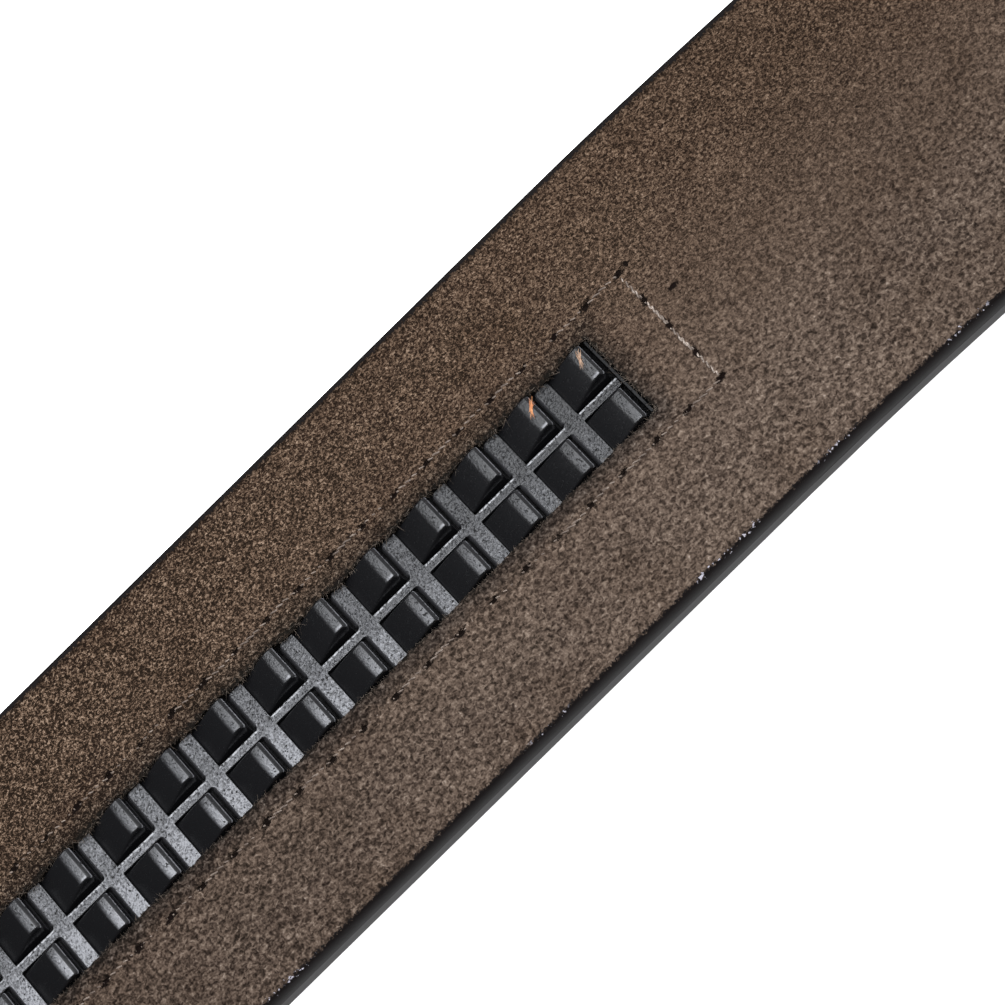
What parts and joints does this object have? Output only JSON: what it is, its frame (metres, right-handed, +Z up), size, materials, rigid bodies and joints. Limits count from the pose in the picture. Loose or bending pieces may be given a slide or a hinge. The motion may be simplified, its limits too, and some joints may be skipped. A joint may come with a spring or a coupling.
{
  "type": "ratchet belt",
  "caption": "Leather ratchet belt laid out straight on its face: suede back with an inset moulded tooth track near the tip, and a plain clasp with a passage for the tip.",
  "frame": {"origin": "under the middle of the belt, on the surface that it lies on", "axes": "+X along the strap from the free tip to the clasp, +Y across the strap, +Z up, out of the suede back"},
  "size_m": [1.2, 0.0454, 0.0131],
  "materials": {
    "face_leather": "smooth satin leather with black painted edges",
    "suede": "napped grey-brown suede with black painted edges",
    "track_plastic": "black moulded plastic, satin",
    "clasp_metal": "satin black coating"
  },
  "bodies": {
    "root": {"strap_face": "face_leather", "strap_lining": "suede", "ratchet_track": "track_plastic", "clasp": "clasp_metal"}
  },
  "joints": []
}
